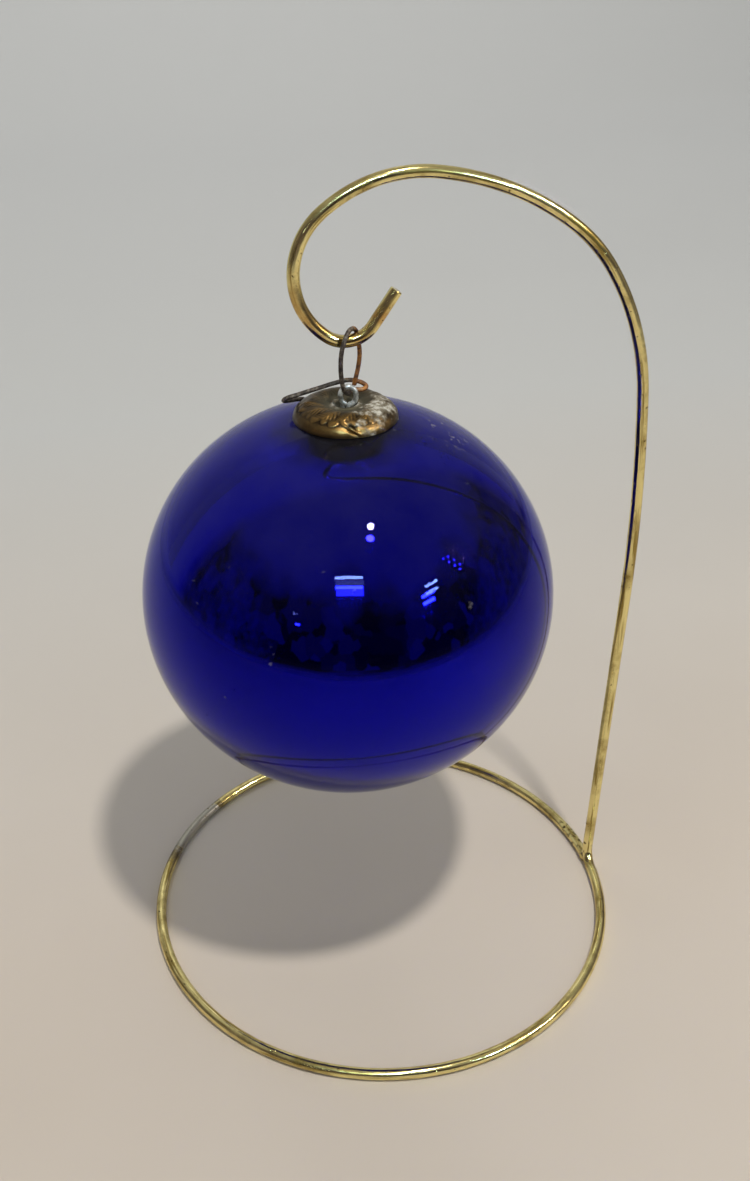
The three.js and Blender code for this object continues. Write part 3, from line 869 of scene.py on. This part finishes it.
deselect()
bpy.ops.mesh.primitive_plane_add(size=2 * FLOOR_HALF, location=(0, SWEEP_START - FLOOR_HALF, 0))
floor = bpy.context.object
floor.name = "floor"
apply_place(floor)
bpy.ops.object.mode_set(mode="EDIT")
bpy.ops.mesh.select_mode(type="EDGE")
bpy.ops.mesh.select_all(action="DESELECT")
bpy.ops.object.mode_set(mode="OBJECT")
for edge in floor.data.edges:
    edge.select = all(floor.data.vertices[v].co.y > SWEEP_START - 0.01 for v in edge.vertices)
bpy.ops.object.mode_set(mode="EDIT")
bpy.ops.mesh.spin(steps=24, angle=math.pi / 2, center=(0, SWEEP_START, 0.5), axis=(-1, 0, 0))
bpy.ops.mesh.extrude_region_move(TRANSFORM_OT_translate={"value": (0, 0, SWEEP_HEIGHT)})
bpy.ops.object.mode_set(mode="OBJECT")
bpy.ops.object.shade_smooth()

pale, tree = new_material("pale_floor")
spot = add(tree, "ShaderNodeTexCoord").outputs["Object"]
cloud = add(tree, "ShaderNodeTexNoise", {"Vector": spot, "Scale": 6.0, "Detail": 3.0}).outputs["Fac"]
warm = add(tree, "ShaderNodeValToRGB", {"Fac": cloud},
           stops=((0.3, "#d1c6b9"), (0.7, "#d9cfc3"))).outputs["Color"]
back = add(tree, "ShaderNodeSeparateXYZ", {0: spot}).outputs["Y"]
far = add(tree, "ShaderNodeMapRange", {"Value": back, "From Min": 0.0, "From Max": 0.35}).outputs[0]
tone = add(tree, "ShaderNodeMix", {"Factor": far, 6: warm, 7: colour("#d2d3d1")},
           data_type="RGBA").outputs[2]
surface = add(tree, "ShaderNodeBsdfPrincipled", {"Base Color": tone, "Roughness": 0.6})
add(tree, "ShaderNodeOutputMaterial", {"Surface": surface.outputs[0]})
floor.data.materials.append(pale)
print("floor:", [round(c, 2) for c in floor.dimensions])

# %% Dark surround
DOME_RADIUS = 1.5
DOME_BACK = 1.0
TABLE_EDGE = 0.55
FADES_TOWARDS = (-0.12, 1.0, 0.15)

deselect()
bpy.ops.mesh.primitive_uv_sphere_add(segments=48, ring_count=24, radius=DOME_RADIUS)
dome = bpy.context.object
dome.name = "dark_surround"
bpy.ops.object.mode_set(mode="EDIT")
bpy.ops.mesh.select_all(action="SELECT")
bpy.ops.mesh.bisect(plane_co=(0, 0, 0.01), plane_no=(0, 0, 1), clear_inner=True)
bpy.ops.mesh.extrude_region_move(TRANSFORM_OT_translate={"value": (0, 0, 0)})
bpy.ops.transform.resize(value=(0.6, TABLE_EDGE / DOME_RADIUS, 1), center_override=(0, 0, 0.01))
bpy.ops.mesh.select_all(action="SELECT")
bpy.ops.mesh.bisect(plane_co=(0, DOME_BACK, 0), plane_no=(0, 1, 0), clear_outer=True)
bpy.ops.object.mode_set(mode="OBJECT")
dome.visible_camera = dome.visible_diffuse = dome.visible_shadow = False

dim, tree = new_material("dim_surround")
spot = add(tree, "ShaderNodeTexCoord").outputs["Object"]
parts = add(tree, "ShaderNodeSeparateXYZ", {0: spot})
stretched = add(tree, "ShaderNodeMapping", {"Vector": spot, "Scale": (4.5, 4.5, 3.0)}).outputs[0]
blocks = add(tree, "ShaderNodeTexVoronoi", {"Vector": stretched, "Scale": 1.0}, distance="CHEBYCHEV")
block = add(tree, "ShaderNodeSeparateXYZ", {0: blocks.outputs["Color"]}).outputs["X"]
tone = add(tree, "ShaderNodeValToRGB", {"Fac": block}, stops=(
    (0.2, "#251c20"), (0.5, "#4a4044"), (0.9, "#786d71"))).outputs["Color"]
cloud = add(tree, "ShaderNodeTexNoise", {"Vector": spot, "Scale": 1.6, "Detail": 2.0}).outputs["Fac"]
height = add(tree, "ShaderNodeMath", {0: cloud, 1: -1.2, 2: parts.outputs["Z"]},
             operation="MULTIPLY_ADD").outputs[0]
table = add(tree, "ShaderNodeMapping", {"Vector": spot, "Scale": (0.61, 1, 1)}).outputs[0]
off_table = add(tree, "ShaderNodeVectorMath", {0: table}, operation="LENGTH").outputs["Value"]
ragged = add(tree, "ShaderNodeTexNoise", {"Vector": spot, "Scale": 9.0, "Detail": 3.0}).outputs["Fac"]
off_table = add(tree, "ShaderNodeMath", {0: ragged, 1: -0.8, 2: off_table},
                operation="MULTIPLY_ADD").outputs[0]
aside = add(tree, "ShaderNodeMath", {0: parts.outputs["X"]}, operation="ABSOLUTE").outputs[0]
behind = add(tree, "ShaderNodeVectorMath", {0: spot, 1: FADES_TOWARDS},
             operation="DOT_PRODUCT").outputs["Value"]
behind = add(tree, "ShaderNodeMath", {0: aside, 1: -0.25, 2: behind}, operation="MULTIPLY_ADD").outputs[0]
GREYS = ((height, 0.1, 0.5, 0.3), (off_table, 0.75, 0.05, 0.40), (behind, 0.40, 0.60, 0.44))
for value, low, high, level in GREYS:
    share = add(tree, "ShaderNodeMapRange", {"Value": value, "From Min": low, "From Max": high}).outputs[0]
    tone = add(tree, "ShaderNodeMix", {"Factor": share, 6: tone, 7: (level, level, level, 1)},
               data_type="RGBA").outputs[2]
glow = add(tree, "ShaderNodeEmission", {"Color": tone, "Strength": 1.0})
add(tree, "ShaderNodeOutputMaterial", {"Surface": glow.outputs[0]})
dome.data.materials.append(dim)
print("dark surround, radius in metres:", DOME_RADIUS)


# %% Lamps
KEY_DISTANCE = 1.15
REFLECTED_DISTANCE = 1.2


def from_ball(bearing, distance):
    return BALL_CENTRE + Vector(bearing).normalized() * distance


def area_lamp(name, place, aim, size, power, tint, shape="RECTANGLE"):
    light = bpy.data.lights.new(name, "AREA")
    light.shape, light.size, light.size_y, light.energy = shape, size[0], size[1], power
    light.color = colour(tint)[:3]
    lamp = bpy.data.objects.new(name, light)
    bpy.context.collection.objects.link(lamp)
    lamp.location = place
    lamp.rotation_euler = (place - aim).to_track_quat("Z", "Y").to_euler()
    return lamp


key_place = from_ball((0.112, -0.35, 0.93), KEY_DISTANCE)
area_lamp("key_lamp", key_place, BALL_CENTRE, (0.075, 0.075), 7.2, "#fffaf2", shape="DISK")
wash = area_lamp("back_wash", Vector((0.1, 1.0, 1.4)), Vector((0.1, 1.6, 0.4)), (1.2, 0.8), 5.8, "#fbfbff")
wash.visible_glossy = wash.visible_transmission = False
reflected = [
    ("front_window", (-0.152, -0.715, 0.685), (0.30, 0.035), 6.5, "#b8e4ff"),
    ("front_window_low", (-0.152, -0.745, 0.645), (0.30, 0.07), 0.8, "#cfe6ff"),
    ("side_window", (0.554, -0.690, 0.495), (0.17, 0.03), 3.2, "#b8e4ff"),
    ("side_window_low", (0.554, -0.720, 0.440), (0.15, 0.03), 2.2, "#b8e4ff"),
    ("far_window", (-0.62, -0.70, 0.35), (0.05, 0.02), 0.1, "#cfe6ff"),
]
SPOTS_FIRST = Vector((0.70, -0.38, 0.62))
SPOTS_ALONG = Vector((0.05, 0, -0.04))
SPOTS_ACROSS = Vector((0, 0.06, -0.05))
for step in range(7):
    bearing = SPOTS_FIRST + SPOTS_ALONG * (step // 2) + SPOTS_ACROSS * (step % 2)
    reflected.append(("ceiling_spot", bearing, (0.010, 0.010), 1.2, "#fff4ec"))
for name, bearing, size, power, tint in reflected:
    shape = "DISK" if size[0] == size[1] else "RECTANGLE"
    lamp = area_lamp(name, from_ball(bearing, REFLECTED_DISTANCE), BALL_CENTRE, size, power, tint, shape)
    lamp.visible_diffuse = False
world = bpy.data.worlds.new("soft_room")
world.use_nodes = True
world.node_tree.nodes["Background"].inputs["Color"].default_value = colour("#efefec")
world.node_tree.nodes["Background"].inputs["Strength"].default_value = 0.40
bpy.context.scene.world = world
bpy.context.scene.view_settings.view_transform = "Standard"
